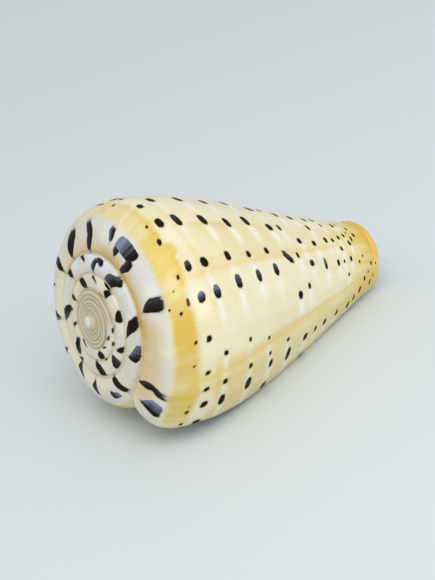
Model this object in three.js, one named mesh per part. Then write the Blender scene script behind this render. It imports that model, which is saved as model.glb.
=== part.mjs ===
// Cone shell, lying on its lip and its belly, apex end towards +X.
// Millimetres, +Z up. The shell is one wall that grew round an axis: every surface below is a
// function of the growth position t (in turns, 0 at the lip, negative further back) and of the
// place c on the whorl's section: 0..1 the ramp by the suture, 1..2 the shoulder, 2..3 the side
// down to the narrow end.

import * as THREE from 'three';
import { ParametricGeometry } from 'three/addons/geometries/ParametricGeometry.js';
import { mergeGeometries, mergeVertices } from 'three/addons/utils/BufferGeometryUtils.js';

// Overall growth
const LENGTH = 65;              // apex to narrow end, along the shell's axis
const SHOULDER_RADIUS = 24.4;   // axis to shoulder at the lip
const GROWTH = 0.36;            // natural log of the size gained in one turn
const SPIRE_TURNS = 7;          // whorls that show on the spire
const SUTURE_SHARE = 0.853;     // suture radius as a share of the whorl it sits on
const SPIRE_HEIGHT = 2.3;       // apex above the last suture
const SPIRE_POWER = 0.92;       // below 1 the spire is a little domed
const NARROW_CREEP = 0.234;     // how much of the growth also lengthens the narrow end

// Section of one whorl
const RAMP_RISE = 14;           // degrees, leaving the suture
const RAMP_FALL = 34;           // degrees, arriving at the shoulder's start
const RAMP_PULL = 0.416;        // handle lengths, as shares of each arc's chord
const SHOULDER_DROP = 0.39;     // shoulder below the ramp's end, in shoulder radii
const SHOULDER_PULL = 0.385; 
const SIDE_PULL = 0.26; 
const END_PULL = 0.13; 
const END_SLOPE = 12;           // degrees off the axis where the side meets the narrow end
const END_RADIUS = 8.3;         // axis to rim of the narrow end, at the lip
const END_GROWTH = 1.46;        // the narrow end opens faster than the shell grows
const COLUMELLA_PINCH = 0.5;    // share lost where the rim winds in behind the opening
const END_DOME = 2.2;           // height of the blunt end beyond its rim
const END_BEND = 2.7;           // sideways lean of the narrow end
const LIP_CUT = 1.5;            // how far the lip's lower corner is drawn back
const LIP_CUT_SPAN = 0.3;       // turns over which it is drawn back
const LINE_LEAD = 0.02;         // turns by which growth lines lead at the suture

// Wall and opening
const WALL = 1.7; 
const LIP_WALL = 1;
const LIP_FADE = 0.05;          // turns over which the wall thickens behind the lip
const LIP_JOIN = 0.2;           // share of the shoulder arc covered where the lip joins
const HOLLOW_DEPTH = 0.9;       // turns open behind the lip, at the shoulder
const CANAL_DEPTH = 0.25;       // turns open at the narrow end
const EDGE_ROUND = 0.45;        // bulge of the lip's edge, in wall thicknesses
const APEX_KNOB = 0.45;         // height of the first shell above the spire

// How it lies: turned about its own axis onto lip and belly, then tipped
const ROLL = 49.24;             // degrees
const TIP = 16;                 // degrees, apex end raised

// Facets
const PER_TURN = 40;
const RAMP_STEPS = 4;
const JOIN_STEPS = 2;
const SHOULDER_STEPS = 4;
const SIDE_STEPS = 11;
const DOME_STEPS = 4;

const smooth = (x) => THREE.MathUtils.smoothstep(x, 0, 1);
const mix = THREE.MathUtils.lerp;
const radians = THREE.MathUtils.degToRad;
const size = (t) => Math.exp(GROWTH * t);

// Points of the section plane are (radius, height).
const sutureRadiusNow = SUTURE_SHARE * SHOULDER_RADIUS * size(-1);

function suturePoint(t) {
  const radius = sutureRadiusNow * size(t);
  return new THREE.Vector2(radius, -SPIRE_HEIGHT * (radius / sutureRadiusNow) ** SPIRE_POWER);
}

// Corners of the section at t: suture, start of the shoulder, shoulder, rim of the narrow end.
function sectionCorners(t) {
  const suture = suturePoint(t);
  const ledge = suturePoint(t + 1);
  const radius = SHOULDER_RADIUS * size(t);
  const shoulder = new THREE.Vector2(radius, ledge.y - SHOULDER_DROP * radius);
  const nearLip = THREE.MathUtils.clamp(1 + t / LIP_CUT_SPAN, 0, 1);
  const reach = LENGTH * size(NARROW_CREEP * t) - LIP_CUT * nearLip ** 2;
  const pinch = 1 - COLUMELLA_PINCH * smooth((-0.6 - t) / 0.5);
  const rim = new THREE.Vector2(END_RADIUS * size(END_GROWTH * t) * pinch, END_DOME - reach);
  return { suture, ledge, shoulder, rim };
}

function arc(from, to, outOf, into, outPull, inPull) {
  const chord = from.distanceTo(to);
  return new THREE.CubicBezierCurve(
    from,
    from.clone().addScaledVector(outOf, outPull * chord),
    to.clone().addScaledVector(into, -inPull * chord),
    to,
  );
}

const heading = (degrees) => new THREE.Vector2(Math.cos(radians(degrees)), Math.sin(radians(degrees)));
const DOWN = heading(-90);

function sectionPoint(t, c) {
  const { suture, ledge, shoulder, rim } = sectionCorners(t);
  if (c <= 1) {
    return arc(suture, ledge, heading(RAMP_RISE), heading(-RAMP_FALL), RAMP_PULL, RAMP_PULL).getPoint(c);
  }
  if (c <= 2) {
    return arc(ledge, shoulder, heading(-RAMP_FALL), DOWN, SHOULDER_PULL, SHOULDER_PULL).getPoint(c - 1);
  }
  return arc(shoulder, rim, DOWN, heading(-90 - END_SLOPE), SIDE_PULL, END_PULL)
    .getPoint(c - 2);
}

// Growth runs clockwise seen from the apex; growth lines lead by LINE_LEAD at the suture.
const angleAt = (t, c) => -2 * Math.PI * (t + LINE_LEAD * smooth(2 - c));

function place(point, angle, target) {
  const low = Math.max(0, (-point.y / LENGTH - 0.45) / 0.55) ** 2;
  return target.set(
    point.x * Math.cos(angle),
    point.x * Math.sin(angle) + END_BEND * low,
    point.y,
  );
}

function outside(t, c, target = new THREE.Vector3()) {
  return place(sectionPoint(t, c), angleAt(t, c), target);
}

function wallAt(t, c) {
  const full = mix(LIP_WALL, WALL, 1 - Math.exp(t / LIP_FADE));
  return full * (1 - 0.35 * smooth((c - 2.2) / 0.8));
}

// The inside is the outside moved in by the wall, drawn over to the older whorl at the suture.
function inside(t, c, target = new THREE.Vector3()) {
  const step = 0.001;
  const before = sectionPoint(t, Math.max(0, c - step));
  const after = sectionPoint(t, Math.min(3, c + step));
  const along = after.sub(before).normalize();
  const point = sectionPoint(t, c).addScaledVector(new THREE.Vector2(along.y, -along.x), wallAt(t, c));
  const foot = sectionPoint(t - 1, 1 + LIP_JOIN);
  const share = 1 - smooth(c);
  const footAngle = angleAt(t - 1, 1 + LIP_JOIN) - 2 * Math.PI;
  return place(point.lerp(foot, share), mix(angleAt(t, c), footAngle, share), target);
}

const hollowDepth = (c) => mix(CANAL_DEPTH, HOLLOW_DEPTH, smooth((2.9 - Math.max(c, 1 + LIP_JOIN)) / 0.8));

// Lip edge: a rounded strip from outside (k = 0) to inside (k = 1).
function lipEdge(k, c, target = new THREE.Vector3()) {
  if (c < 1e-9) {
    return outside(-1, 1 + LIP_JOIN * k, target);
  }
  const angle = angleAt(0, c);
  const corner = smooth((c - 2.7) / 0.3);
  const forward = new THREE.Vector3(Math.sin(angle), -Math.cos(angle), 0).multiplyScalar(1 - 0.5 * corner);
  forward.z -= 0.7 * corner;
  const outer = outside(0, c);
  const inner = inside(0, c);
  const bulge = EDGE_ROUND * outer.distanceTo(inner) * smooth(c / 0.6) * Math.sin(Math.PI * k);
  return target.lerpVectors(outer, inner, k).addScaledVector(forward, bulge);
}

// Rim of the canal at the narrow end, the same strip carried on round the bottom.
function canalEdge(t, k, target = new THREE.Vector3()) {
  const nearLip = smooth(1 + t / 0.06);
  const angle = angleAt(t, 3);
  const outwards = new THREE.Vector3(Math.sin(angle), -Math.cos(angle), 0).multiplyScalar(0.5 * nearLip);
  outwards.z -= 1 - 0.3 * nearLip;
  const outer = outside(t, 3);
  const inner = inside(t, 3);
  const bulge = EDGE_ROUND * outer.distanceTo(inner) * Math.sin(Math.PI * k);
  return target.lerpVectors(outer, inner, k).addScaledVector(outwards, bulge);
}

const steps = (from, to, count) => Array.from({ length: count + 1 }, (_, i) => mix(from, to, i / count));
const ramp = steps(0, 1, RAMP_STEPS);
const join = steps(1, 1 + LIP_JOIN, JOIN_STEPS);
const shoulderSteps = steps(1 + LIP_JOIN, 2, SHOULDER_STEPS);
const side = steps(2, 3, SIDE_STEPS);
const innerPart = [...shoulderSteps, ...side.slice(1)];
const body = [...join, ...innerPart.slice(1)];
const whole = [...ramp, ...body.slice(1)];

// A sheet over rows and columns of given values; swapping them turns its face over.
function sheet(rows, columns, pointAt) {
  const pick = (list, share) => {
    const at = share * (list.length - 1);
    const first = Math.min(Math.floor(at), list.length - 2);
    return mix(list[first], list[first + 1], at - first);
  };
  const surface = (u, v, target) => pointAt(pick(rows, v), pick(columns, u), target);
  return new ParametricGeometry(surface, columns.length - 1, rows.length - 1);
}

// A dome closing a loop of points towards one point.
function dome(loop, top) {
  const closed = [...loop, loop[0]];
  const surface = (u, v, target) => {
    const from = closed[Math.min(Math.round(u * loop.length), loop.length)];
    const turn = v * Math.PI / 2;
    target.lerpVectors(top, from, Math.cos(turn));
    target.z = mix(from.z, top.z, Math.sin(turn));
  };
  return new ParametricGeometry(surface, loop.length, DOME_STEPS);
}

const lastTurn = steps(0, -1, PER_TURN);
const spireTurns = steps(0, -SPIRE_TURNS, SPIRE_TURNS * PER_TURN);
const hollowSteps = steps(0, 1, Math.round(CANAL_DEPTH * PER_TURN));
const edgeSteps = steps(0, 1, JOIN_STEPS);
const canalSteps = steps(0, -CANAL_DEPTH, Math.round(CANAL_DEPTH * PER_TURN));
const backColumns = [...whole].reverse();

const baseLoop = [
  ...steps(-1, -CANAL_DEPTH, PER_TURN - canalSteps.length + 1).map((t) => outside(t, 3)),
  ...edgeSteps.slice(1).map((k) => canalEdge(-CANAL_DEPTH, k)),
  ...hollowSteps.slice(1).reverse().map((x) => outside(-1 - x * CANAL_DEPTH, 3)),
];
const baseTop = new THREE.Vector3(0, END_BEND, -LENGTH * size(-NARROW_CREEP / 2));
const apexLoop = [
  ...ramp.map((c) => outside(-SPIRE_TURNS, c)),
  ...steps(1 - SPIRE_TURNS, -SPIRE_TURNS, PER_TURN).slice(1, -1).map((t) => outside(t, 0)),
];
const apexTop = new THREE.Vector3(0, 0, APEX_KNOB);

const sheets = [
  sheet(spireTurns, ramp, outside),
  sheet(lastTurn, body, outside),
  sheet(hollowSteps, innerPart, (x, c, target) => outside(-1 - x * hollowDepth(c), c, target)),
  sheet(whole, hollowSteps, (c, x, target) => inside(-x * hollowDepth(c), c, target)),
  sheet(whole, edgeSteps, (c, k, target) => lipEdge(k, c, target)),
  sheet(canalSteps, edgeSteps, canalEdge),
  sheet([0, 1], backColumns, (k, c, target) => {
    const innerWall = inside(-hollowDepth(c), c);
    const olderWhorl = outside(-1 - hollowDepth(c), Math.max(c, 1 + LIP_JOIN));
    return target.lerpVectors(innerWall, olderWhorl, k);
  }),
  dome(baseLoop, baseTop),
  dome(apexLoop, apexTop),
];

// Joins the sheets along their shared edges and drops triangles that have closed up.
function closedSurface(parts) {
  const bare = parts.map((part) => part.deleteAttribute('normal').deleteAttribute('uv'));
  const joined = mergeVertices(mergeGeometries(bare), 0.001);
  const corners = joined.index.array;
  const kept = [];
  for (let i = 0; i < corners.length; i += 3) {
    const [a, b, c] = corners.slice(i, i + 3);
    if (a !== b && b !== c && c !== a) {
      kept.push(a, b, c);
    }
  }
  joined.setIndex(kept);
  joined.computeVertexNormals();
  return joined;
}

const porcelain = new THREE.MeshStandardMaterial({
  color: 0xf0dfae,
  roughness: 0.25,
  metalness: 0,
});

const shell = new THREE.Mesh(closedSurface(sheets), porcelain);
shell.name = 'cone_shell';
shell.rotation.z = radians(ROLL);

// Laid down with its axis along X, then lifted until it touches the table from above.
const lying = new THREE.Group();
lying.rotation.y = radians(90 - TIP);
lying.add(shell);

const coneShell = new THREE.Group();
coneShell.add(lying);
coneShell.updateMatrixWorld(true);
const box = new THREE.Box3().setFromObject(lying, true);
lying.position.set(-(box.min.x + box.max.x) / 2, -(box.min.y + box.max.y) / 2, -box.min.z);

export default coneShell;
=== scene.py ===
import math

import bpy
import numpy as np
from mathutils import Matrix, Vector


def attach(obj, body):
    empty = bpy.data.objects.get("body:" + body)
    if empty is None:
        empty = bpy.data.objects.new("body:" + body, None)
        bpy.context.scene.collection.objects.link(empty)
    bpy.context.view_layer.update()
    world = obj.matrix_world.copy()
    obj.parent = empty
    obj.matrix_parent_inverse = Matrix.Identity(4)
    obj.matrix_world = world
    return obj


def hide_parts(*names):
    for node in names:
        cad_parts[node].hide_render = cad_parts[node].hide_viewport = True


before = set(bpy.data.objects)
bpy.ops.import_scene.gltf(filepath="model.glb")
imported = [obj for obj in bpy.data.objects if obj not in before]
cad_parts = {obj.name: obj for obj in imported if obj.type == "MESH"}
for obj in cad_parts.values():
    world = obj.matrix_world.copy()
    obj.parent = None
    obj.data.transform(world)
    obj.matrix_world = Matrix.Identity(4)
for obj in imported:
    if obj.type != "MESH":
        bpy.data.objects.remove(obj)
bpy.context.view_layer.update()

metres = 0.001  # one millimetre

# Growth of the shell in millimetres. t is the growth position in turns, 0 at the lip and
# negative further back. c is the place on the whorl's section: 0 to 1 the ramp beside the
# suture, 1 to 2 the shoulder, 2 to 3 the side down to the narrow end.
growth = {
    "length": 65.0,
    "shoulder": 24.4,  # radius there, at the lip
    "rate": 0.36,
    "turns": 7,
    "sutureShare": 0.853,
    "spire": 2.3, "spirePower": 0.92,
    "rampRise": 14.0,  # degrees
    "rampFall": 34.0, "rampPull": 0.416,
    "shoulderDrop": 0.39, "shoulderPull": 0.385,
    "sidePull": 0.26, "endPull": 0.13,
    "endSlope": 12.0, "endRadius": 8.3, "endGrowth": 1.46,
    "endDome": 2.2, "endBend": 2.7,
    "bendFrom": 0.45,  # share of the length above the bend
    "pinch": 0.5,
    "pinchFrom": 0.6,  # turns back
    "pinchSpan": 0.5,
    "creep": 0.234,
    "lipCut": 1.5, "lipCutSpan": 0.3,
    "lineLead": 0.02,
    "knob": 0.45,
    "knobTurns": 2.0,  # how many turns older the knob's top is than its foot
}

opening = {
    "wall": 1.7, "lipWall": 1.0, "lipFade": 0.05,
    "thinning": 0.35,  # share of the wall lost at the narrow end
    "thinFrom": 2.2,
    "join": 0.2,
    "depth": 0.9,  # turns that the passage goes back
    "deepTo": 2.1,
    "canal": 0.25,  # turns that it goes back at the narrow end
    "canalFrom": 2.9,
    "edgeRound": 0.45, "edgeFade": 0.6,
    "cornerFrom": 2.7, "cornerLean": 0.5, "cornerDrop": 0.7,
    "cornerFade": 0.06,  # turns
}

# Steps of the grid, and how the shell lies: turned about its axis, then its spire lifted.
grid = {"perTurn": 240, "ramp": 18, "rampEase": 0.11, "join": 4, "shoulder": 22, "side": 96, "dome": 12}
rest = {"roll": 49.24, "tip": 16.0}

# Fine relief in mm, with its places on the section and its degrees back from the lip.
relief = {
    "groove": 0.55, "grooveSpan": 0.055,
    "ledgeGroove": 0.7,  # share of the groove's depth on the ledge's side
    "rim": 0.24, "rimPlace": 0.84, "rimSpan": 0.10,
    "threads": 0.12, "threadsPerRamp": 2.0, "threadsFrom": 1080.0, "threadsFade": 80.0,
    "ripples": 0.035, "ripplePitch": 4.0,
    "dent": 0.07, "dentSpan": 2.2,
    "endRim": 0.35, "endRimPlace": 2.99, "endRimSpan": 0.016,
    "endGroove": 0.8,  # share of the end rim's height
    "endGroovePlace": 2.95, "endGrooveSpan": 0.018,
    "endRimAges": (50.0, 160.0, 30.0),
}

# Growth-pause lines: (place on the section, degrees back from the lip).
pauseLine = [
    (1.2, 31.5), (1.48, 28.5), (1.7, 26.7), (1.93, 26.0), (2.15, 29.7), (2.26, 32.0),
    (2.37, 33.8), (2.5, 34.6), (3.0, 35.5),
]
youngLine = [(1.2, 25.5), (1.3, 25.0), (1.65, 21.5), (1.86, 20.0), (2.1, 20.7), (3.0, 24.0)]
oldLine = [
    (1.2, 73.5), (1.9, 72.4), (2.04, 73.0), (2.15, 74.0), (2.26, 74.6), (2.37, 75.4),
    (2.55, 76.7), (2.7, 78.5), (3.0, 88.0),
]


def smooth(x):
    # Smooth step: 3x^2 - 2x^3, held at 0 and 1 outside.
    x = np.clip(x, 0.0, 1.0)
    return x * x * (3.0 - 2.0 * x)


def rise(x, low, high):
    # Smooth step from 0 at low to 1 at high.
    return smooth((x - low) / (high - low))


def bump(x, low, high, soft):
    # Rises over "soft" at low and falls over "soft" at high.
    return smooth((x - low) / soft + 0.5) * (1.0 - smooth((x - high) / soft + 0.5))


def hump(x, middle, span):
    # Bell curve: e to the minus square of the distance from the middle, in spans.
    return np.exp(-((x - middle) / span)**2)


def waves(x, seed, count=5):
    # Sum of sines of unlike pitch, about -1 to 1: slow uneven change along x.
    random = np.random.default_rng(seed)
    total = np.zeros_like(x)
    for k in range(count):
        pitch = (1.0 + 1.7 * k) * (0.8 + 0.4 * random.random())
        start = 6.28 * random.random()
        total += np.sin(x * pitch + start) / (1 + k)
    return total / 2.0


def bezier(a, b, c, d, u):
    # Cubic curve of four points at u.
    u = u[..., None]
    v = 1.0 - u
    return v**3 * a + 3 * v * v * u * b + 3 * v * u * u * c + u**3 * d


def heading(degrees):
    # Unit step of (radius, height): cosine and sine of the angle.
    return np.array([math.cos(math.radians(degrees)), math.sin(math.radians(degrees))])


def degreesOn(line, c):
    # Degrees back from the lip at which a growth-pause line crosses c, straight between knots.
    return np.interp(c, *np.array(line).T)


def sizeAt(t):
    # Size grows by the same factor every turn: e^(rate t).
    return np.exp(growth["rate"] * t)


def suturePoint(t):
    # (radius, height): radius in step with size, height below the apex as a power of it.
    now = growth["sutureShare"] * growth["shoulder"] * sizeAt(-1.0)
    radius = now * sizeAt(t)
    return np.stack([radius, -growth["spire"] * (radius / now) ** growth["spirePower"]], -1)


def sectionPoint(t, c):
    # Three cubic arcs end to end: suture to ledge, ledge to shoulder, shoulder to rim.
    g = growth
    t, c = np.broadcast_arrays(np.asarray(t, float), np.asarray(c, float))
    suture = suturePoint(t)
    ledge = suturePoint(t + 1.0)
    radius = g["shoulder"] * sizeAt(t)
    shoulder = np.stack([radius, ledge[..., 1] - g["shoulderDrop"] * radius], -1)
    nearLip = np.clip(1.0 + t / g["lipCutSpan"], 0.0, 1.0)
    reach = g["length"] * sizeAt(g["creep"] * t) - g["lipCut"] * nearLip**2
    pinch = 1.0 - g["pinch"] * smooth((-g["pinchFrom"] - t) / g["pinchSpan"])
    rim = np.stack([g["endRadius"] * sizeAt(g["endGrowth"] * t) * pinch, g["endDome"] - reach], -1)

    def arc(start, end, outOf, into, outPull, inPull, u):
        chord = np.linalg.norm(end - start, axis=-1)[..., None]
        return bezier(start, start + outPull * chord * outOf, end - inPull * chord * into, end,
                      np.clip(u, 0.0, 1.0))

    ramp = arc(suture, ledge, heading(g["rampRise"]), heading(-g["rampFall"]),
               g["rampPull"], g["rampPull"], c)
    turn = arc(ledge, shoulder, heading(-g["rampFall"]), heading(-90.0),
               g["shoulderPull"], g["shoulderPull"], c - 1.0)
    side = arc(shoulder, rim, heading(-90.0), heading(-90.0 - g["endSlope"]),
               g["sidePull"], g["endPull"], c - 2.0)
    c = c[..., None]
    return np.where(c < 1.0, ramp, np.where(c < 2.0, turn, side))


def angleAt(t, c):
    # Growth runs clockwise seen from the apex, and growth lines lead a little at the suture.
    return -2.0 * np.pi * (t + growth["lineLead"] * smooth(2.0 - c))


def onward(angle):
    # Unit step along growth, square to the radius.
    return np.stack([np.sin(angle), -np.cos(angle), 0.0 * angle], -1)


def place(point, angle):
    # Turns (radius, height) to its angle; the narrow end leans by the square of the depth.
    depth = -point[..., 1] / growth["length"]
    low = np.clip((depth - growth["bendFrom"]) / (1.0 - growth["bendFrom"]), 0.0, None) ** 2
    return np.stack([point[..., 0] * np.cos(angle),
                     point[..., 0] * np.sin(angle) + growth["endBend"] * low,
                     point[..., 1]], -1)


def outwardsAt(t, c):
    # Unit step square to the section's line, away from the inside.
    step = 0.001
    along = sectionPoint(t, np.minimum(3.0, c + step)) - sectionPoint(t, np.maximum(0.0, c - step))
    along /= np.linalg.norm(along, axis=-1)[..., None]
    return np.stack([-along[..., 1], along[..., 0]], -1)


def reliefAt(t, c):
    # Millimetres of fine relief. In step with size: a groove at each suture, a rounded rim on
    # every covered ledge, sine threads on the oldest whorls. On the last whorl: shallow dents
    # at two growth pauses, slow ripples, and a rim with a groove above it at the narrow end.
    r, size, back = relief, sizeAt(t), -360.0 * t
    covered = smooth((-0.99 - t) / 0.04)  # 1 where the next whorl lies over the ledge
    groove = -r["groove"] * hump(c, 0.0, r["grooveSpan"])
    ledge = covered * (r["rim"] * hump(c, r["rimPlace"], r["rimSpan"])
                       - r["groove"] * r["ledgeGroove"] * hump(c, 1.0, r["grooveSpan"]))
    threads = r["threads"] * smooth((back - r["threadsFrom"]) / r["threadsFade"])
    threads = threads * np.sin(2.0 * np.pi * r["threadsPerRamp"] * c)
    body = smooth((c - 0.9) / 0.4) * (1.0 - covered)
    dents = sum(hump(back, degreesOn(line, c), r["dentSpan"]) for line in (pauseLine, oldLine))
    ripples = r["ripples"] * waves(back / r["ripplePitch"], 17)
    endRim = r["endRim"] * (hump(c, r["endRimPlace"], r["endRimSpan"])
                            - r["endGroove"] * hump(c, r["endGroovePlace"], r["endGrooveSpan"]))
    endRim = endRim * bump(back, *r["endRimAges"])
    return size * (groove + ledge + threads) + body * (ripples - r["dent"] * dents + endRim)


def outside(t, c):
    # The section moved out by the relief, turned to its angle.
    t, c = np.broadcast_arrays(np.asarray(t, float), np.asarray(c, float))
    point = sectionPoint(t, c) + reliefAt(t, c)[..., None] * outwardsAt(t, c)
    return place(point, angleAt(t, c))


def wallAt(t, c):
    # From the lip's thickness to the full wall by 1 - e^(t / fade), thinner at the narrow end.
    o = opening
    full = o["lipWall"] + (o["wall"] - o["lipWall"]) * (1 - np.exp(t / o["lipFade"]))
    return full * (1.0 - o["thinning"] * rise(c, o["thinFrom"], 3.0))


def inside(t, c):
    # The outside moved in by the wall, drawn over to the older whorl near the suture.
    t, c = np.broadcast_arrays(np.asarray(t, float), np.asarray(c, float))
    point = sectionPoint(t, c) - wallAt(t, c)[..., None] * outwardsAt(t, c)
    foot = sectionPoint(t - 1.0, np.full_like(c, 1.0 + opening["join"]))
    footAngle = angleAt(t - 1.0, 1.0 + opening["join"]) - 2.0 * np.pi
    share = 1.0 - smooth(c)
    point = point * (1.0 - share[..., None]) + foot * share[..., None]
    return place(point, angleAt(t, c) * (1.0 - share) + footAngle * share)


def hollowDepth(c):
    # Turns that the passage goes back: a smooth step from its full depth to the canal's.
    o = opening
    c = np.maximum(c, 1.0 + o["join"])
    return o["canal"] + (o["depth"] - o["canal"]) * (1.0 - rise(c, o["deepTo"], o["canalFrom"]))


class Surface:
    # Grids of points. Each grid keeps its own numbers, so that colours can differ on the two
    # sides of a seam, and "shared" says which points are one and the same.
    def __init__(self):
        self.points = []
        self.marks = []
        self.faces = []
        self.shared = np.zeros(0, int)

    def grid(self, points, marks):
        rows, columns = points.shape[:2]
        numbers = len(self.shared) + np.arange(rows * columns).reshape(rows, columns)
        self.shared = np.concatenate([self.shared, numbers.ravel()])
        self.points.append(points.reshape(-1, 3))
        self.marks.append(np.broadcast_to(marks, (rows, columns, 3)).reshape(-1, 3))
        return numbers

    def join(self, numbers, others):
        self.shared[numbers] = self.shared[others]

    def tile(self, numbers, flip=False):
        quads = np.stack([numbers[:-1, :-1], numbers[:-1, 1:], numbers[1:, 1:], numbers[1:, :-1]], -1)
        quads = quads.reshape(-1, 4)
        self.faces.append(quads[:, ::-1] if flip else quads)

    def done(self):
        # Quads with two equal corners become triangles, and unused points are dropped.
        points = np.concatenate(self.points)
        marks = np.concatenate(self.marks)
        own = np.concatenate(self.faces)
        quads = self.shared[own]
        same = quads == np.roll(quads, -1, axis=1)
        whole = same.sum(1) == 0
        folded = same.sum(1) == 1
        corner = np.argmax(same[folded], axis=1)
        order = (corner[:, None] + np.array([1, 2, 3])) % 4
        triangles = np.take_along_axis(quads[folded], order, axis=1)
        ownTriangles = np.take_along_axis(own[folded], order, axis=1)
        used = np.unique(np.concatenate([quads[whole].ravel(), triangles.ravel()]))
        renumber = np.full(len(points), -1)
        renumber[used] = np.arange(len(used))
        corners = np.concatenate([own[whole].ravel(), ownTriangles.ravel()])
        return points[used], marks, renumber[quads[whole]], renumber[triangles], corners


def marksOf(t, c, where):
    # What the colours go by: t, c, and 0 outside, 0.5 on an edge, 1 within.
    t, c = np.broadcast_arrays(np.asarray(t, float), np.asarray(c, float))
    return np.stack([t, c, np.full_like(t, where)], -1)


def buildShell():
    # One closed surface: every piece is a grid in t and c, joined to its neighbours.
    g, o = growth, opening
    n = grid["perTurn"]
    deep = int(round(o["canal"] * n))
    ramp = np.linspace(0.0, 1.0, grid["ramp"] + 1)
    ramp = ramp - grid["rampEase"] * np.sin(2.0 * np.pi * ramp)  # closer steps at both ends
    join = np.linspace(1.0, 1.0 + o["join"], grid["join"] + 1)
    turn = np.linspace(1.0 + o["join"], 2.0, grid["shoulder"] + 1)
    side = 2.0 + np.linspace(0.0, 1.0, grid["side"] + 1)
    body = np.concatenate([join, turn[1:], side[1:]])
    whole = np.concatenate([ramp, body[1:]])
    inner = np.concatenate([turn, side[1:]])
    s = Surface()

    # Ramps of every whorl; each shares its suture with the ledge of the one before.
    t = -g["turns"] + np.arange(g["turns"] * n + 1) / n
    spire = s.grid(outside(t[:, None], ramp), marksOf(t[:, None], ramp, 0.0))
    s.join(spire[n:, 0], spire[:-n, -1])
    s.tile(spire, True)

    # Last whorl, from its ledge down.
    t = t[-n - 1:]
    last = s.grid(outside(t[:, None], body), marksOf(t[:, None], body, 0.0))
    s.join(last[:, 0], spire[-n - 1:, -1])
    s.tile(last, True)

    # The older whorl carried on behind the lip, and the inside of the last whorl facing it.
    x = np.linspace(0.0, 1.0, deep + 1)[:, None]
    back = -1.0 - x * hollowDepth(inner)
    older = s.grid(outside(back, inner), marksOf(back, inner, 1.0))
    s.join(older[0], last[0, grid["join"]:])
    s.tile(older)
    back = -x * hollowDepth(whole)
    lining = s.grid(inside(back, whole), marksOf(back, whole, 1.0))
    s.join(lining[:, 0], older[:, 0])
    s.tile(lining, True)

    # A strip from outer to inner edge, rounded by half a sine wave.
    def strip(outer, inner, outwards):
        k = np.linspace(0.0, 1.0, grid["join"] + 1)[:, None, None]
        return outer + (inner - outer) * k + outwards * np.sin(np.pi * k)

    # Lip edge: rounded forwards, and more downwards at its lower corner.
    lipOuter, lipInner = outside(0.0, whole), inside(0.0, whole)
    corner = rise(whole, o["cornerFrom"], 3.0)[:, None]
    forward = onward(angleAt(0.0, whole)) * (1.0 - (1.0 - o["cornerLean"]) * corner)
    forward[:, 2] -= o["cornerDrop"] * corner[:, 0]
    bulge = o["edgeRound"] * np.linalg.norm(lipInner - lipOuter, axis=-1) * smooth(whole / o["edgeFade"])
    edge = s.grid(strip(lipOuter, lipInner, forward * bulge[:, None]), marksOf(0.0, whole[None], 0.5))
    s.join(edge[0], np.concatenate([spire[-1], last[-1, 1:]]))
    s.join(edge[-1], lining[0])
    s.join(edge[:, 0], last[0, :grid["join"] + 1])
    s.tile(edge, True)

    # The same strip carried on round the rim of the canal, where it turns to face down.
    t = -np.arange(deep + 1) / n
    rimOuter, rimInner = outside(t, 3.0), inside(t, 3.0)
    nearLip = smooth(1.0 + t / o["cornerFade"])
    outwards = onward(angleAt(t, 3.0)) * o["cornerLean"] * nearLip[:, None]
    outwards[:, 2] -= 1.0 - (1.0 - o["cornerDrop"]) * nearLip
    bulge = o["edgeRound"] * np.linalg.norm(rimInner - rimOuter, axis=-1)
    rimPoints = strip(rimOuter, rimInner, outwards * bulge[:, None]).swapaxes(0, 1)
    rim = s.grid(rimPoints, marksOf(t[:, None], 3.0, 0.5))
    s.join(rim[:, 0], last[::-1, -1][:deep + 1])
    s.join(rim[:, -1], lining[:, -1])
    s.join(rim[0], edge[:, -1])
    s.tile(rim)

    # Back wall of the hollow.
    folded = np.full(grid["ramp"] + grid["join"], older[-1, 0])
    s.tile(np.stack([lining[-1], np.concatenate([folded, older[-1]])]), True)

    # A dome closes the narrow end and another the apex: rings shrink by the cosine and
    # sink towards the top by the sine of a quarter turn, and grow older by the same sine.
    points = np.concatenate(s.points)
    marks = np.concatenate(s.marks)

    def dome(loop, top, olderBy):
        loop = np.append(loop, loop[0])
        quarter = np.linspace(0.0, np.pi / 2, grid["dome"] + 1)[:, None, None]
        start = points[loop]
        rings = top + (start - top) * np.cos(quarter)
        rings[..., 2] = start[:, 2] + (top[2] - start[:, 2]) * np.sin(quarter[..., 0])
        ringMarks = np.broadcast_to(marks[loop], rings.shape).copy()
        ringMarks[..., 0] -= olderBy * np.sin(quarter[..., 0])
        numbers = s.grid(rings, ringMarks)
        s.join(numbers[0], loop)
        s.join(numbers[:, -1], numbers[:, 0])
        s.join(numbers[-1], numbers[-1, 0])
        s.tile(numbers)

    end = np.concatenate([last[:n - deep + 1, -1], rim[-1, 1:], older[::-1, -1][:-1]])
    dome(end, np.array([0.0, g["endBend"], -g["length"] * sizeAt(-g["creep"] / 2)]), 0.0)
    start = np.concatenate([spire[0], spire[n - 1:0:-1, 0]])
    dome(start, np.array([0.0, 0.0, g["knob"]]), g["knobTurns"])
    return s.done()


def layDown(points):
    # Rolled onto lip and belly, spire lifted, centred, lowest point on the floor, in metres.
    turned = (Matrix.Rotation(math.radians(90.0 - rest["tip"]), 3, "Y")
              @ Matrix.Rotation(math.radians(rest["roll"]), 3, "Z"))
    lying = points @ np.array(turned).T
    low, high = lying.min(0), lying.max(0)
    lying -= np.array([(low[0] + high[0]) / 2, (low[1] + high[1]) / 2, low[2]])
    return lying * metres


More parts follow.
